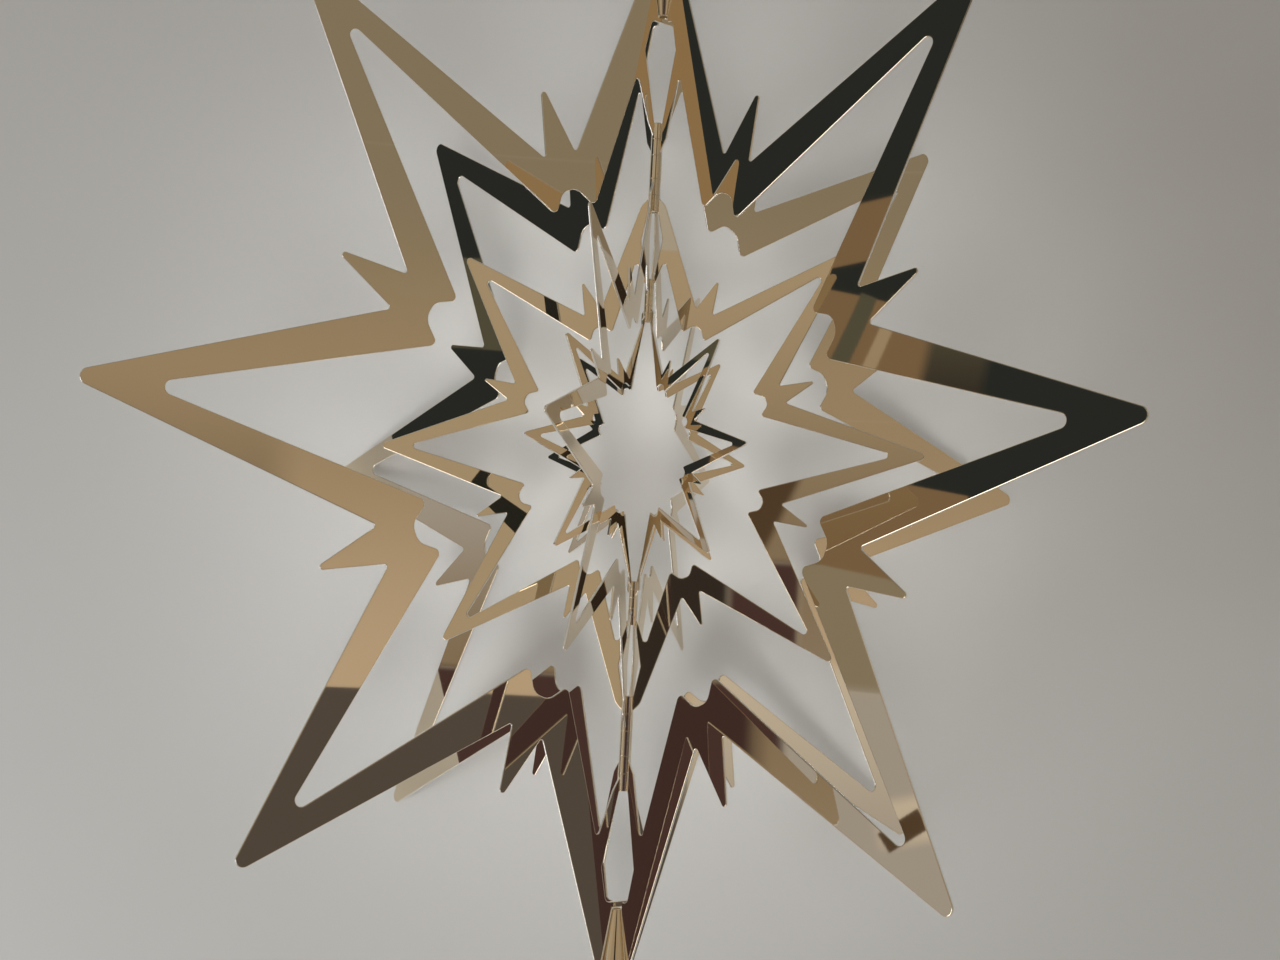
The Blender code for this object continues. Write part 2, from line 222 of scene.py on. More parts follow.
POINT_PITCH = math.radians(45)
VALLEYS_ON_HALF = 4
PLATE_SIZES = (
    "Tip", "Tip Round", "Spike", "Spike Round", "Spike Foot", "Spike Half Width", "Valley Round",
    "Hole", "Hole Round", "Lobe", "Lobe Reach", "Lobe Round", "Lip Round", "Notch", "Notch Mouth",
    "Notch Floor", "Floor Round", "Scale", "Sheet", "Turn", "Height",
)
plate_tree, given = new_tree("star_plate", PLATE_SIZES, ["Arc Steps"])
wire = Wire(plate_tree)
ORDER_STRIDE = 1000


def pick(index, values):
    """One of several values, by an index."""
    inputs = {"Index": index} | {number + 1: value for number, value in enumerate(values)}
    return wire.node("GeometryNodeIndexSwitch", inputs, choices=len(values), data_type="FLOAT")


def store(geometry, name, value, domain="POINT"):
    inputs = {"Geometry": geometry, "Name": name, "Value": value}
    return wire.node("GeometryNodeStoreNamedAttribute", inputs, data_type="FLOAT", domain=domain)


def named(name):
    return wire.node("GeometryNodeInputNamedAttribute", {"Name": name}, data_type="FLOAT")


def rim_points(corners, count, order_start, order_step):
    """Corners set along rays from valley to valley: each is a ray shift, along, across, rounding."""
    index = wire.node("GeometryNodeInputIndex")
    corner = index.whole("MODULO", len(corners))
    valley = index.whole("DIVIDE_FLOOR", len(corners))
    ray = math.pi / 2 - POINT_PITCH / 2 - valley * POINT_PITCH
    ray = ray - pick(corner, [shift for shift, _, _, _ in corners])
    along = pick(corner, [value for _, value, _, _ in corners]) * given["Scale"]
    across = pick(corner, [value for _, _, value, _ in corners]) * given["Scale"]
    cosine = wire.math("COSINE", ray)
    sine = wire.math("SINE", ray)
    place = wire.node(
        "ShaderNodeCombineXYZ",
        {"X": along * cosine - across * sine, "Y": along * sine + across * cosine},
    )
    row = wire.node("GeometryNodeMeshLine", {"Count": count})
    row = wire.node("GeometryNodeSetPosition", {"Geometry": row, "Position": place})
    rounding = pick(corner, [value for _, _, _, value in corners]) * given["Scale"]
    row = store(row, "rounding", rounding)
    return store(row, "order", order_start + index * order_step)


spike_half = given["Spike Half Width"]
outer_corners = [
    (0.0, given["Spike Foot"], spike_half, given["Valley Round"]),
    (0.0, given["Spike"], 0.0, given["Spike Round"]),
    (0.0, given["Spike Foot"], 0.0 - spike_half, given["Valley Round"]),
    (POINT_PITCH / 2, given["Tip"], 0.0, given["Tip Round"]),
]
lobe_side = [
    (given["Lobe"], given["Lobe Reach"], given["Lobe Round"]),
    (given["Lobe"], given["Notch Mouth"], given["Lip Round"]),
    (given["Notch"], given["Notch Floor"], given["Floor Round"]),
]
inner_corners = [(0.0, along, across, r) for along, across, r in lobe_side]
inner_corners += [(0.0, along, 0.0 - across, r) for along, across, r in reversed(lobe_side)]
inner_corners += [(POINT_PITCH / 2, given["Hole"], 0.0, given["Hole Round"])]

# The outline runs from the upper pole down the outer rim, round the lower pole and up the inner rim.
# The pole's corners come in as points, and the lower pole is their mirror image.
index = wire.node("GeometryNodeInputIndex")
upper = store(given["Mesh"], "order", index * 1.0)
lower = wire.node("GeometryNodeTransform", {"Geometry": given["Mesh"], "Scale": (1, -1, 1)})
lower = store(lower, "order", 3 * ORDER_STRIDE - index)
outer = rim_points(outer_corners, VALLEYS_ON_HALF * len(outer_corners) - 1, ORDER_STRIDE, 1)
inner = rim_points(inner_corners, VALLEYS_ON_HALF * len(inner_corners) - 1, 4 * ORDER_STRIDE, -1)
join = plate_tree.nodes.new("GeometryNodeJoinGeometry")
for row in (upper, outer, lower, inner):
    plate_tree.links.new(row.socket, join.inputs[0])
corners = wire.node("GeometryNodeMeshToPoints", {"Mesh": Wire(plate_tree, join.outputs[0])})
outline = wire.node("GeometryNodePointsToCurves", {"Points": corners, "Weight": named("order")})
outline = wire.node("GeometryNodeSetSplineCyclic", {"Geometry": outline, "Cyclic": True})
is_round = wire.node(
    "FunctionNodeCompare", {"A": named("rounding"), "B": LEAST_ROUNDING}, data_type="FLOAT"
)
steps = wire.node(
    "GeometryNodeSwitch",
    {"Switch": is_round, "False": 1, "True": given["Arc Steps"]},
    input_type="INT",
)
outline = wire.node(
    "GeometryNodeFilletCurve",
    {"Curve": outline, "Radius": named("rounding"), "Count": steps, "Limit Radius": True},
    mode="POLY",
)
face = wire.node("GeometryNodeFillCurve", {"Curve": outline}, mode="NGONS")
face = wire.node("GeometryNodeMergeByDistance", {"Geometry": face, "Distance": WELD})
thick = wire.node(
    "GeometryNodeExtrudeMesh", {"Mesh": face, "Offset Scale": given["Sheet"], "Individual": False}
)
sides = Wire(plate_tree, thick.socket.node.outputs["Side"])
thick = store(thick, "cut_edge", sides * 1.0, "FACE")
back = wire.node("GeometryNodeFlipFaces", {"Mesh": face})
both = plate_tree.nodes.new("GeometryNodeJoinGeometry")
for side in (thick, back):
    plate_tree.links.new(side.socket, both.inputs[0])
leaf = wire.node(
    "GeometryNodeMergeByDistance",
    {"Geometry": Wire(plate_tree, both.outputs[0]), "Distance": WELD},
)
middle = wire.node("ShaderNodeCombineXYZ", {"Z": given["Sheet"] * -0.5})
leaf = wire.node("GeometryNodeTransform", {"Geometry": leaf, "Translation": middle})
leaf = wire.node("GeometryNodeTransform", {"Geometry": leaf, "Rotation": (math.pi / 2, 0, 0)})
spot = wire.node("ShaderNodeSeparateXYZ", {"Vector": wire.node("GeometryNodeInputPosition")})
on_axis = wire.node(
    "FunctionNodeCompare",
    {"A": wire.math("ABSOLUTE", spot), "B": WELD},
    operation="LESS_THAN",
)
leaf = wire.node(
    "GeometryNodeDeleteGeometry",
    {"Geometry": leaf, "Selection": on_axis},
    domain="FACE",
    mode="ONLY_FACE",
)
seats = wire.node("GeometryNodeMeshLine", {"Count": 2, "Offset": (0, 0, 0)})
half_turn = wire.node("ShaderNodeCombineXYZ", {"Z": index * math.pi + given["Turn"]})
halves = wire.node(
    "GeometryNodeInstanceOnPoints", {"Points": seats, "Instance": leaf, "Rotation": half_turn}
)
lift = wire.node("ShaderNodeCombineXYZ", {"Z": given["Height"]})
halves = wire.node("GeometryNodeTransform", {"Geometry": halves, "Translation": lift})
close_tree(wire, halves, given["Finish"])


SETTLING_ROUNDS = 12


def sharp_reach(reach, rounding, half_base, base):
    """Where the sides of a point meet, if its rounded end is at reach."""
    sharp = reach
    for _ in range(SETTLING_ROUNDS):
        half_angle = math.atan2(half_base, sharp - base)
        sharp = reach + rounding * (1 / math.sin(half_angle) - 1)
    return sharp


LARGE_TIP_RADIUS = 0.120
HOLE_RADIUS = 0.105
SPIKE_RADIUS = 0.079
VALLEY_RADIUS = 0.0654
SPIKE_HALF_WIDTH = 0.00396
SPIKE_FOOT = math.sqrt(VALLEY_RADIUS**2 - SPIKE_HALF_WIDTH**2)
LOBE = 0.0541
LOBE_REACH = 0.0058
valley_turn = POINT_PITCH / 2 - math.asin(SPIKE_HALF_WIDTH / VALLEY_RADIUS)
valley_half = VALLEY_RADIUS * math.sin(valley_turn)
valley_along = VALLEY_RADIUS * math.cos(valley_turn)
lobe_turn = POINT_PITCH / 2 - math.atan2(LOBE_REACH, LOBE)
lobe_half = math.hypot(LOBE, LOBE_REACH) * math.sin(lobe_turn)
lobe_along = math.hypot(LOBE, LOBE_REACH) * math.cos(lobe_turn)
plate_sizes = {
    "Tip Round": 0.0016,
    "Spike Round": 0.0007,
    "Spike Foot": SPIKE_FOOT,
    "Spike Half Width": SPIKE_HALF_WIDTH,
    "Valley Round": 0.0005,
    "Hole Round": 0.0013,
    "Lobe": LOBE,
    "Lobe Reach": LOBE_REACH,
    "Lobe Round": 0.0013,
    "Lip Round": 0.0010,
    "Notch": 0.0578,
    "Notch Mouth": 0.0046,
    "Notch Floor": 0.0019,
    "Floor Round": 0.0030,
    "Sheet": SHEET,
    "Height": CENTRE.z,
    "Arc Steps": ARC_STEPS,
}
plate_sizes["Tip"] = sharp_reach(
    LARGE_TIP_RADIUS, plate_sizes["Tip Round"], valley_half, valley_along
)
plate_sizes["Hole"] = sharp_reach(HOLE_RADIUS, plate_sizes["Hole Round"], lobe_half, lobe_along)
plate_sizes["Spike"] = sharp_reach(
    SPIKE_RADIUS, plate_sizes["Spike Round"], SPIKE_HALF_WIDTH, SPIKE_FOOT
)


class Neck:
    """A pin with its sleeve and four eyes, read from the frame above the star's centre."""

    def __init__(self, which, strip_foot):
        pin_low, pin_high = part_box(f"upper_{which}_pin")
        sleeve_low, sleeve_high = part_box(f"upper_{which}_sleeve")
        self.base = pin_low[2] - CENTRE.z
        self.top = pin_high[2] - CENTRE.z
        self.sleeve = (sleeve_low[2] - CENTRE.z, sleeve_high[2] - CENTRE.z)
        self.eye_length = (self.sleeve[0] - self.base) / 2 - SEAT_GAP
        self.bore = pin_high[0] + SEAT_GAP
        self.eye_radius = sleeve_high[0]
        self.root = (self.bore + self.eye_radius) / 2
        self.passing = self.eye_radius + SEAT_GAP
        self.strip_foot = strip_foot

    def eye(self, slot):
        """Slots 0 and 1 belong to the inner star, 2 and 3 to the outer star."""
        start = self.base if slot < 2 else self.sleeve[1] + SEAT_GAP
        low = start + (slot % 2) * (self.eye_length + SEAT_GAP)
        return low, low + self.eye_length

    def fall(self, slot):
        """Corners of an outer star's closing strip, from its foot to the side of its window."""
        low, high = self.eye(slot)
        inner = self.eye_radius if slot == 3 else self.passing
        corners = [(inner + self.strip_foot, high)]
        corners += [(self.root, low + EYE_BITE), (self.root, high - EYE_BITE)]
        if slot < 3:
            corners += [(self.passing, high - EYE_BITE), (self.passing, self.top + SEAT_GAP)]
        return corners

    def rise(self, slot, edge_at):
        """Corners of an inner star's pole, up to its eye and out to its edge, with their roundings."""
        low, high = self.eye(slot)
        corners = [(self.root, low + EYE_BITE), (self.root, high - EYE_BITE)]
        inner = self.eye_radius
        if slot == 1:
            inner = self.passing
            corners = [(inner, self.base - SEAT_GAP), (inner, low + EYE_BITE)] + corners
        edge = edge_at(inner + self.strip_foot)
        foot = (inner + self.strip_foot, low)
        shoulder = [(foot, self.strip_foot)] if low > edge[1] else []
        return [(corner, 0.0) for corner in corners] + shoulder + [(edge, 2 * self.strip_foot)]


OUTER_STRIP_FOOT = 0.0015
INNER_STRIP_FOOT = 0.0006
outer_neck = Neck("outer", OUTER_STRIP_FOOT)
inner_neck = Neck("inner", INNER_STRIP_FOOT)


def pole_edge(scale):
    """The upper point's outer edge, as the place on it at a reach from the axis."""
    tip = Vector((0, plate_sizes["Tip"])) * scale
    valley = Vector((valley_half, valley_along)) * scale
    return lambda reach: tuple(tip.lerp(valley, reach / valley.x))


def star_plate(name, pole, scale, turn, body, replaced):
    """Cuts a plate from its pole's corners, each a place and a rounding, and sets it on its body."""
    points = [(x, y, 0) for (x, y), _ in pole]
    sizes = plate_sizes | {"Scale": scale, "Turn": math.radians(turn)}
    wave = BENT_LEAF_WAVE if name == "large_star_b" else FLAT_LEAF_WAVE
    sizes["Finish"] = gold_plating(name + "_plating", wave=wave)
    piece = grown(name, plate_tree, points, {"rounding": [r for _, r in pole]}, sizes)
    soften(piece)
    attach(piece, body)
    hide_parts(replaced)


def soften(piece, width=EDGE_SOFTENING):
    """Rounds the cut edges, which then catch a bright line of light."""
    piece.data.shade_smooth()
    bevel = piece.modifiers.new("edge_softening", "BEVEL")
    bevel.width = width
    bevel.segments = EDGE_SEGMENTS
    bevel.limit_method = "ANGLE"
    bevel.angle_limit = EDGE_ANGLE
    bevel.harden_normals = True


FERRULE_LENGTH = 0.0169
FERRULE_MOUTH = 0.0045
FERRULE_NARROW = 0.0013
WINDOW_DROP = 0.0015
WINDOW_ROUND = 0.0012
WINDOW_TOP_HALF = 0.0031
WINDOW_HALF = 0.00465
WINDOW_WIDEST = 0.0072
CROTCH_HALF = 0.0063
CROTCH_DROP = 0.0131
CROTCH_ROUND = 0.0005
large_edge = pole_edge(1.0)
mouth = CENTRE.z
narrow = mouth - FERRULE_LENGTH
window_top = narrow - WINDOW_DROP
bar_top = narrow - SEAT_GAP
foot = FERRULE_NARROW + SEAT_GAP
taper = (FERRULE_MOUTH - FERRULE_NARROW) / FERRULE_LENGTH
edge_slope = -(large_edge(FERRULE_MOUTH)[1] - large_edge(0)[1]) / FERRULE_MOUTH
seat_end = (large_edge(0)[1] - narrow + foot / taper) / (1 / taper + edge_slope)
bar = [(0, window_top), (0, bar_top), (foot, bar_top)]
large_plates = [("a", 44.0, "large_frame"), ("b", 141.0, "large_plate_b")]
for plate, (letter, turn, body) in enumerate(large_plates):
    pole = [((CROTCH_HALF, window_top - CROTCH_DROP), CROTCH_ROUND)]
    pole += [(corner, 0.0) for corner in outer_neck.fall(3 - plate)]
    pole += [((WINDOW_HALF, window_top - WINDOW_WIDEST), WINDOW_ROUND)]
    pole += [((WINDOW_TOP_HALF, window_top), WINDOW_ROUND)]
    pole += [(corner, 0.0) for corner in (bar if letter == "a" else [(foot, window_top)])]
    pole += [((foot, narrow), 0.0)]
    pole += [(large_edge(seat_end), SEAT_GAP)]
    star_plate(f"large_star_{letter}", pole, 1.0, turn, body, f"large_plate_{letter}")

# Medium star: the same outline at about half the size, hung inside the large star. Its points at
# the poles have a slim window between the outer neck and the inner one.

MEDIUM_TIP_RADIUS = 0.061
MEDIUM_CROTCH_HALF = 0.0032
MEDIUM_CROTCH_DROP = 0.0108
MEDIUM_WINDOW_HALF = 0.0024
MEDIUM_WINDOW_WIDEST = 0.0065
medium_scale = MEDIUM_TIP_RADIUS / LARGE_TIP_RADIUS
medium_top = outer_neck.base
medium_plates = [("a", 173.0, "medium_frame"), ("b", 81.5, "medium_plate_b")]
for plate, (letter, turn, body) in enumerate(medium_plates):
    pole = [((MEDIUM_CROTCH_HALF, medium_top - MEDIUM_CROTCH_DROP), CROTCH_ROUND)]
    pole += [(corner, 0.0) for corner in inner_neck.fall(3 - plate)]
    pole += [((MEDIUM_WINDOW_HALF, medium_top - MEDIUM_WINDOW_WIDEST), WINDOW_ROUND)]
    pole += outer_neck.rise(plate, pole_edge(medium_scale))
    star_plate(f"medium_star_{letter}", pole, medium_scale, turn, body, f"medium_plate_{letter}")

# Small star: the same outline again at about a quarter of the size. It has no windows, and its
# strips part straight below the inner neck.

SMALL_TIP_RADIUS = 0.0315
small_scale = SMALL_TIP_RADIUS / LARGE_TIP_RADIUS
small_plates = [("a", 49.0, "small_plate_a"), ("b", 141.0, "small_plate_b")]
for plate, (letter, turn, body) in enumerate(small_plates):
    pole = inner_neck.rise(plate, pole_edge(small_scale))
    star_plate(f"small_star_{letter}", pole, small_scale, turn, body, f"small_plate_{letter}")

# Rolled eyes and sleeves: short tubes rolled from the same sheet. A plate's eyes turn on the pins
# in the necks, and a sleeve keeps one star's eyes apart from the next star's.

tube_tree, given = new_tree("rolled_tubes", ("Outer Radius", "Height"), ["Steps"])
wire = Wire(tube_tree)
TUBE_STEPS = 40
TUBE_SOFTENING = 0.00008
TUBE_ROUGHNESS = 0.07
SEAM = 0.00013
ring = wire.node(
    "GeometryNodeCurvePrimitiveCircle",
    {"Resolution": given["Steps"], "Radius": given["Outer Radius"]},
)
tall = wire.node("GeometryNodeCurvePrimitiveLine", {"Start": (0, 0, -0.5), "End": (0, 0, 0.5)})
wall = wire.node("GeometryNodeCurveToMesh", {"Curve": tall, "Profile Curve": ring})
lift = wire.node("ShaderNodeCombineXYZ", {"Z": given["Height"]})
seats = wire.node("GeometryNodeSetPosition", {"Geometry": given["Mesh"], "Offset": lift})
stretch = wire.node("ShaderNodeCombineXYZ", {"X": 1.0, "Y": 1.0, "Z": named("span")})
tubes = wire.node("GeometryNodeInstanceOnPoints", {"Points": seats, "Instance": wall, "Scale": stretch})
close_tree(wire, tubes, given["Finish"])


def rolled_tubes(name, neck, spans, body, replaced=()):
    """Tubes at spans above the star's centre and at their mirror images below it."""
    spans = [(low - SEAM, high + SEAM) for low, high in spans]
    both = [(side * (low + high) / 2, high - low) for low, high in spans for side in (1, -1)]
    sizes = {"Outer Radius": neck.eye_radius, "Height": CENTRE.z, "Steps": TUBE_STEPS}
    sizes["Finish"] = gold_plating(name + "_plating", TUBE_ROUGHNESS)
    points = [(0, 0, height) for height, _ in both]
    piece = grown(name, tube_tree, points, {"span": [span for _, span in both]}, sizes)
    piece.data.shade_smooth()
    wall = piece.modifiers.new("wall", "SOLIDIFY")
    wall.thickness = neck.eye_radius - neck.bore
    wall.offset = -1
    soften(piece, TUBE_SOFTENING)
    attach(piece, body)
    if replaced:
        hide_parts(*replaced)


for plate, letter in enumerate("ab"):
    large_body = large_plates[plate][2]
    medium_body = medium_plates[plate][2]
    small_body = small_plates[plate][2]
    rolled_tubes(f"large_eyes_{letter}", outer_neck, [outer_neck.eye(3 - plate)], large_body)
    rolled_tubes(f"medium_outer_eyes_{letter}", outer_neck, [outer_neck.eye(plate)], medium_body)
    rolled_tubes(f"medium_inner_eyes_{letter}", inner_neck, [inner_neck.eye(3 - plate)], medium_body)
    rolled_tubes(f"small_eyes_{letter}", inner_neck, [inner_neck.eye(plate)], small_body)
for which, neck, body in (("outer", outer_neck, "large_frame"), ("inner", inner_neck, "medium_frame")):
    sleeves = [f"upper_{which}_sleeve", f"lower_{which}_sleeve"]
    rolled_tubes(f"{which}_sleeves", neck, [neck.sleeve], body, sleeves)

# Pins: short lengths of drawn wire, plated the same pale gold but duller. Each runs through the
# eyes and the sleeve of one neck, and is seen only at its ends.

PIN_ROUGHNESS = 0.2
pin_plating = gold_plating("pin_plating", PIN_ROUGHNESS, wave=0.0)
for side in ("upper", "lower"):
    for which in ("outer", "inner"):
        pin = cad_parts[f"{side}_{which}_pin"]
        pin.data.materials.clear()
        pin.data.materials.append(pin_plating)

# Ferrules: cones rolled from sheet at the two poles, open at both ends. The lower one is pushed
# over the tree's top shoot.

FERRULE_WALL = 0.0005
FERRULE_STEPS = 96
FERRULE_ROUGHNESS = 0.06


def ferrule(name, up, replaced):
    """A thin cone, narrow towards the star's centre."""
    mesh = bpy.data.meshes.new(name)
    form = bmesh.new()
    profile = [(FERRULE_MOUTH, mouth), (FERRULE_NARROW, narrow)]
    profile += [(radius - FERRULE_WALL, height) for radius, height in reversed(profile)]
    verts = [form.verts.new((radius, 0, CENTRE.z + up * height)) for radius, height in profile]
    edges = [form.edges.new((verts[i - 1], verts[i])) for i in range(len(verts))]
    bmesh.ops.spin(
        form,
        geom=verts + edges,
        axis=(0, 0, 1),
        cent=(0, 0, 0),
        angle=math.tau,
        steps=FERRULE_STEPS,
        use_merge=True,
    )
    bmesh.ops.remove_doubles(form, verts=form.verts, dist=WELD)
    bmesh.ops.recalc_face_normals(form, faces=form.faces)
    form.to_mesh(mesh)
    form.free()
    mesh.materials.append(gold_plating(name + "_plating", FERRULE_ROUGHNESS))
    piece = bpy.data.objects.new(name, mesh)
    bpy.context.scene.collection.objects.link(piece)
    soften(piece)
    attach(piece, "large_frame")
    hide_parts(replaced)


ferrule("top_cone", 1, "top_ferrule")
ferrule("socket_cone", -1, "tree_socket")

# Table: a pale matt top, painted smooth. The star lies back on it, so it stands close behind the
# rearmost tips and leans with the camera's view.

TABLE_LEAN = 0.275
TABLE_SWING = 0.044
TABLE_LEFT_EDGE = -0.24
TABLE_REACH = 2.0
TABLE_GAP = 0.0006
TABLE_ROUGHNESS = 0.5
TABLE_MOTTLE = 9.0
TABLE_PAINT = (0.63, 0.63, 0.625, 1)
TABLE_WEAR = (0.59, 0.59, 0.58, 1)
toward_star = Vector((TABLE_SWING, -1, TABLE_LEAN)).normalized()
deepest = min(
    (vertex.co - CENTRE).dot(toward_star)
    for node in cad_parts.values()
    for vertex in node.data.vertices
)
table_place = CENTRE + toward_star * (deepest - TABLE_GAP)
across = Vector((0, 0, 1)).cross(-toward_star).normalized()
upward = toward_star.cross(-across)
table_mesh = bpy.data.meshes.new("table")
form = bmesh.new()
sides = [(TABLE_LEFT_EDGE, -TABLE_REACH), (TABLE_REACH, -TABLE_REACH)]
sides += [(TABLE_REACH, TABLE_REACH), (TABLE_LEFT_EDGE, TABLE_REACH)]
form.faces.new([form.verts.new(table_place - across * x + upward * y) for x, y in sides])
bmesh.ops.recalc_face_normals(form, faces=form.faces)
form.normal_update()
if form.faces[:][0].normal.dot(toward_star) < 0:
    bmesh.ops.reverse_faces(form, faces=form.faces)
form.to_mesh(table_mesh)
form.free()
table = bpy.data.objects.new("table", table_mesh)
bpy.context.scene.collection.objects.link(table)
table_finish = bpy.data.materials.new("pale_table")
table_finish.use_nodes = True
wire = Wire(table_finish.node_tree)
place = wire.node("ShaderNodeTexCoord", out="Object")
mottle = wire.node("ShaderNodeTexNoise", {"Vector": place, "Scale": TABLE_MOTTLE, "Detail": 3.0})
pale = wire.mix(mottle, TABLE_PAINT, TABLE_WEAR)
top = table_finish.node_tree.nodes["Principled BSDF"]
wire.plug(top.inputs["Base Color"], pale)
top.inputs["Roughness"].default_value = TABLE_ROUGHNESS
through = wire.node("ShaderNodeBsdfTransparent")
behind = wire.node("ShaderNodeNewGeometry", out="Backfacing")
shown = wire.node("ShaderNodeMixShader", {0: behind, 1: Wire(wire.tree, top.outputs[0]), 2: through})
wire.plug(table_finish.node_tree.nodes["Material Output"].inputs["Surface"], shown)
table_mesh.materials.append(table_finish)

# Studio: tinted cards and dark cloths stand around the star, beside the camera, and show only as
# reflections in its plates. A bright low panel at the left gives the edges their white lines, and
# the rest is pale. Two soft lamps give the light itself and are not mirrored.

PANEL = (4.0, 4.05, 4.2, 1)
PALE = (0.44, 0.42, 0.38, 1)
SHADE = (0.20, 0.19, 0.17, 1)
BACKDROP = (0.50, 0.50, 0.49, 1)
BRIGHT_TAN = (0.55, 0.45, 0.34, 1)
SAND = (0.43, 0.36, 0.26, 1)
TAN = (0.37, 0.30, 0.21, 1)
UMBER = (0.26, 0.21, 0.15, 1)
OLIVE = (0.265, 0.235, 0.18, 1)
WALNUT = (0.215, 0.15, 0.09, 1)
DARK_OLIVE = (0.093, 0.093, 0.07, 1)
BROWN = (0.096, 0.083, 0.077, 1)
MAROON = (0.073, 0.042, 0.041, 1)
SEPIA = (0.090, 0.060, 0.037, 1)
PLUM = (0.070, 0.047, 0.060, 1)
EBONY = (0.036, 0.030, 0.026, 1)
BLACK = (0.024, 0.029, 0.030, 1)
BEIGE = (0.60, 0.56, 0.50, 1)
STONE = (0.40, 0.39, 0.39, 1)

world = bpy.data.worlds.new("studio")
bpy.context.scene.world = world
world.use_nodes = True
wire = Wire(world.node_tree)
way = wire.node("ShaderNodeTexCoord", out="Generated")
split = wire.node("ShaderNodeSeparateXYZ", {"Vector": way})
x, y, z = (Wire(wire.tree, split.socket.node.outputs[axis]) for axis in "XYZ")
around = wire.math("ARCTAN2", x, 0.0 - y) * math.degrees(1)
rise = wire.math("ARCSINE", z) * math.degrees(1)


def step(value, start, end):
    """Rises smoothly from 0 to 1 between two values."""
    inputs = {"Value": value, "From Min": start, "From Max": end}
    return wire.node("ShaderNodeMapRange", inputs, interpolation_type="SMOOTHSTEP")


def between(value, half, soft):
    """1 within half a width of zero, with soft ends."""
    return step(wire.math("ABSOLUTE", value), half + soft, half - soft)


# Each card: its lower and upper colours, where it starts and ends round the star, its lowest and
# highest edge, how soft its edges are and how far it is tilted, in degrees as the star sees them,
# from straight ahead of it and from its own level.
CARDS = [
    (BRIGHT_TAN, TAN, 40, 110, -2.7, 8, 0.03, 0),
    (TAN, OLIVE, 40, 110, 8, 17, 0.03, 0),
    (OLIVE, OLIVE, 40, 110, 17, 27, 0.03, 0),
    (UMBER, TAN, 40, 66.5, 3, 9, 1.0, 0),
    (BROWN, BROWN, 40, 82, -16, -2.7, 0.03, 0),
    (STONE, BEIGE, 82, 130, -9, -1, 0.5, 0),
    (BLACK, BLACK, -110, -60, 2.6, 27, 0.03, 0),
    (OLIVE, OLIVE, -110, -60, -1.8, 2.6, 0.03, 0),
    (UMBER, STONE, -110, -83.5, -1.8, 4.8, 0.03, 0),
    (DARK_OLIVE, DARK_OLIVE, -110, -83.5, 10, 13.2, 0.03, 0),
    (MAROON, MAROON, -110, -80.5, -14, -1.8, 0.2, 0),
    (STONE, STONE, -80.5, -60, -16, -1.8, 0.4, 0),
    (BEIGE, BEIGE, -77.4, -60, -5.2, -3.6, 0.3, 15),
    (SEPIA, SEPIA, -77, -75.2, -7.1, -6.3, 0.03, 35),
    (WALNUT, WALNUT, -84, -74.4, 2.6, 6.2, 0.03, -10),
    (WALNUT, WALNUT, -83, -75.4, 9.6, 12.6, 0.03, -12),
    (WALNUT, WALNUT, -80.2, -76.2, 13.9, 16, 0.03, 14),
    (DARK_OLIVE, DARK_OLIVE, -79.1, -78.4, 9, 12.6, 0.03, -20),
    (TAN, TAN, -77.8, -77.3, 9, 12.6, 0.03, -22),
    (EBONY, DARK_OLIVE, -75.8, -73.6, 8, 12.4, 0.3, -12),
    (SAND, SAND, -45, -22.4, -8, 26, 0.03, 0),
    (UMBER, SAND, -22.4, -10.5, 2.7, 14, 0.03, 0),
    (EBONY, EBONY, -22.4, -18.8, -14, 2.7, 0.3, 0),
    (MAROON, MAROON, -18.8, -16.2, -14, 2.7, 0.2, 0),
    (STONE, UMBER, -16.2, -10.5, -10, 2.7, 0.2, 0),
    (SEPIA, SEPIA, -18.2, -16.6, 3.2, 7.6, 0.2, -25),
    (TAN, TAN, -10.5, 38, 2, 27, 0.6, 0),
    (PLUM, PLUM, -10.5, 38, -14, 2, 0.6, 0),
    (EBONY, EBONY, 4, 16, -14, 27, 1.0, 0),
    (PANEL, PANEL, -72, -44, -48, -10, 1.5, 0),
]

# Below the star hangs a cloth in broad folds, from dark to sand, and above it the light falls off.
CLOTH_FOLDS = 4
CLOTH_RISE = (-45, -10)
SHADE_RISE = (36, 55)
folds = wire.math("COSINE", around * math.radians(CLOTH_FOLDS)) * 0.5 + 0.5
surround = wire.mix(step(rise, *CLOTH_RISE), wire.mix(folds, BROWN, SAND), PALE)
for lower, upper, start, end, low, high, soft, tilt in CARDS:
    aside = around - (start + end) / 2
    above = rise - (low + high) / 2
    if tilt:
        cosine = math.cos(math.radians(tilt))
        sine = math.sin(math.radians(tilt))
        aside, above = aside * cosine + above * sine, above * cosine - aside * sine
    inside = between(aside, (end - start) / 2, soft) * between(above, (high - low) / 2, soft)
    colour = lower if lower == upper else wire.mix(step(rise, low, high), lower, upper)
    surround = wire.mix(inside, surround, colour)
surround = wire.mix(step(rise, *SHADE_RISE), surround, SHADE)

# The pale backdrop behind the star is what the camera sees, and what metal mirrors from there.
rays = wire.tree.nodes.new("ShaderNodeLightPath").outputs
looking, mirrored, through = (
    Wire(wire.tree, rays[kind]) for kind in ("Is Camera Ray", "Is Glossy Ray", "Is Transmission Ray")
)
BACKDROP_DEPTH = (0.2, 0.3)
seen = wire.math("MAXIMUM", looking, (mirrored + through) * step(y, *BACKDROP_DEPTH))
shown = wire.mix(seen, surround, BACKDROP)
wire.plug(world.node_tree.nodes["Background"].inputs["Color"], shown)


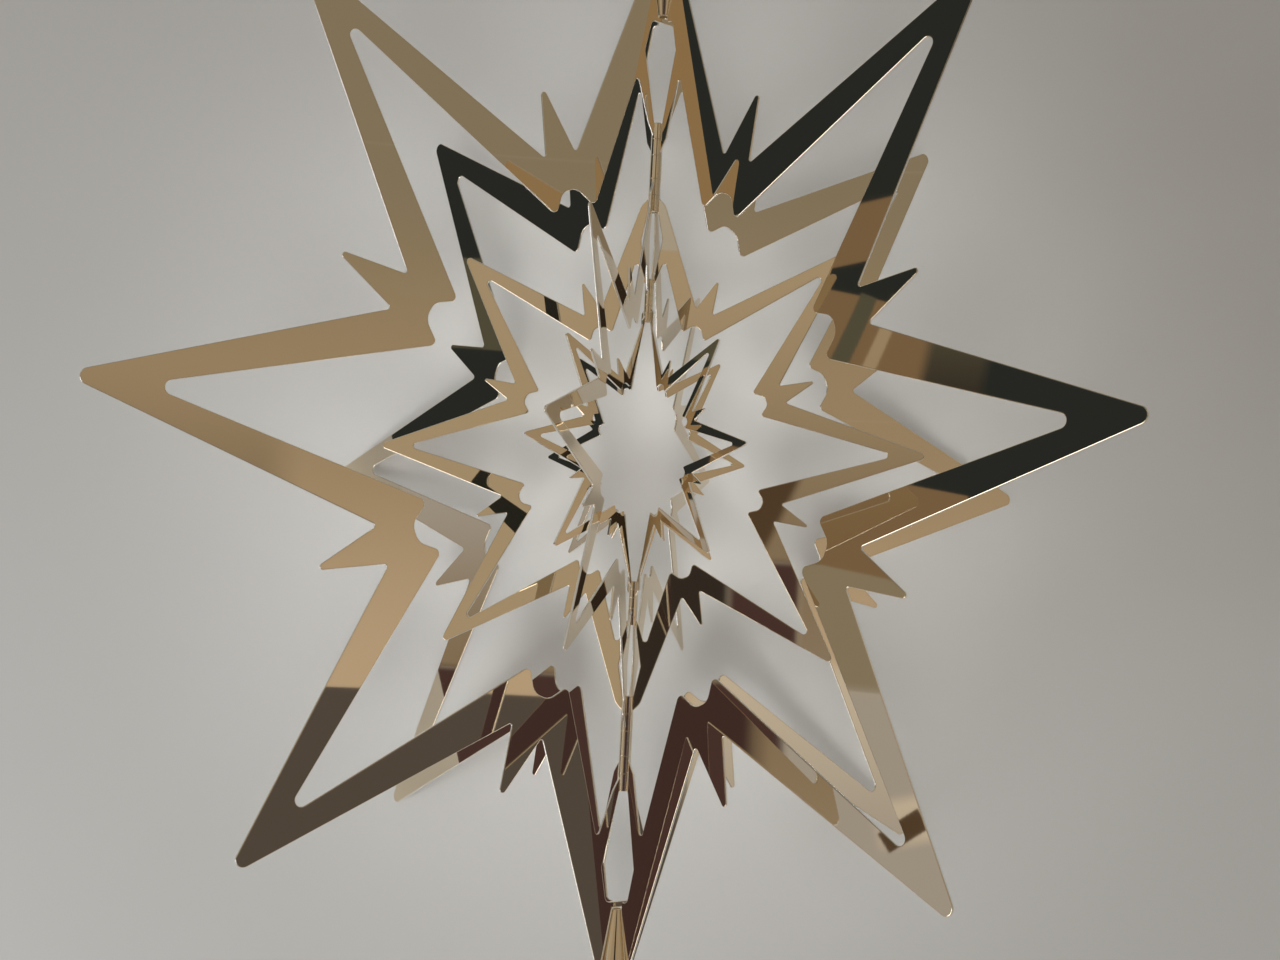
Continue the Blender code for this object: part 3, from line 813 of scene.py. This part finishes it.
def soft_lamp(name, way, distance, size, power, colour, spread=180):
    """A square soft lamp that faces the star from a direction."""
    data = bpy.data.lights.new(name, "AREA")
    data.size = size
    data.spread = math.radians(spread)
    data.energy = power
    data.color = colour
    lamp = bpy.data.objects.new(name, data)
    lamp.location = CENTRE + Vector(way).normalized() * distance
    lamp.rotation_euler = Vector(way).to_track_quat("Z", "Y").to_euler()
    lamp.visible_glossy = False
    bpy.context.scene.collection.objects.link(lamp)


soft_lamp(
    "low_key",
    (-0.75, -0.75, -0.62),
    distance=0.75,
    size=0.3,
    power=2.8,
    colour=(0.93, 0.97, 1.0),
)
soft_lamp(
    "front_pool",
    (0.12, -1.0, -0.3),
    distance=0.6,
    size=0.12,
    power=0.065,
    colour=(1.0, 0.98, 0.94),
    spread=24,
)

# Camera: close in front of the star, a little below its centre and turned slightly. Its place and
# lens come from a fit to the tips, valleys and lobes of the plates.

SENSOR_WIDTH = 36.0
PHOTO_WIDTH = 1280
FOCAL_PIXELS = 1540.4
CAMERA_AROUND = math.radians(8.31)
CAMERA_UP = math.radians(-5.46)
CAMERA_ROLL = math.radians(2.99)
CAMERA_DISTANCE = 0.3356
NEAR_CLIP = 0.01
CAMERA_SLIDE = Vector((-0.0002, -0.0064))
toward_camera = Vector((
    math.sin(CAMERA_AROUND) * math.cos(CAMERA_UP),
    -math.cos(CAMERA_AROUND) * math.cos(CAMERA_UP),
    math.sin(CAMERA_UP),
))
level_right = Vector((0, 0, 1)).cross(toward_camera).normalized()
level_up = toward_camera.cross(level_right)
right_way = level_right * math.cos(CAMERA_ROLL) + level_up * math.sin(CAMERA_ROLL)
up_way = level_up * math.cos(CAMERA_ROLL) - level_right * math.sin(CAMERA_ROLL)
camera_data = bpy.data.cameras.new("camera")
camera_data.sensor_width = SENSOR_WIDTH
camera_data.lens = FOCAL_PIXELS * SENSOR_WIDTH / PHOTO_WIDTH
camera = bpy.data.objects.new("camera", camera_data)
camera.matrix_world = Matrix.Translation(
    CENTRE + toward_camera * CAMERA_DISTANCE + right_way * CAMERA_SLIDE.x + up_way * CAMERA_SLIDE.y
) @ Matrix((right_way, up_way, toward_camera)).transposed().to_4x4()
camera_data.clip_start = NEAR_CLIP
bpy.context.scene.collection.objects.link(camera)
bpy.context.scene.camera = camera
bpy.context.scene.view_settings.view_transform = "Standard"
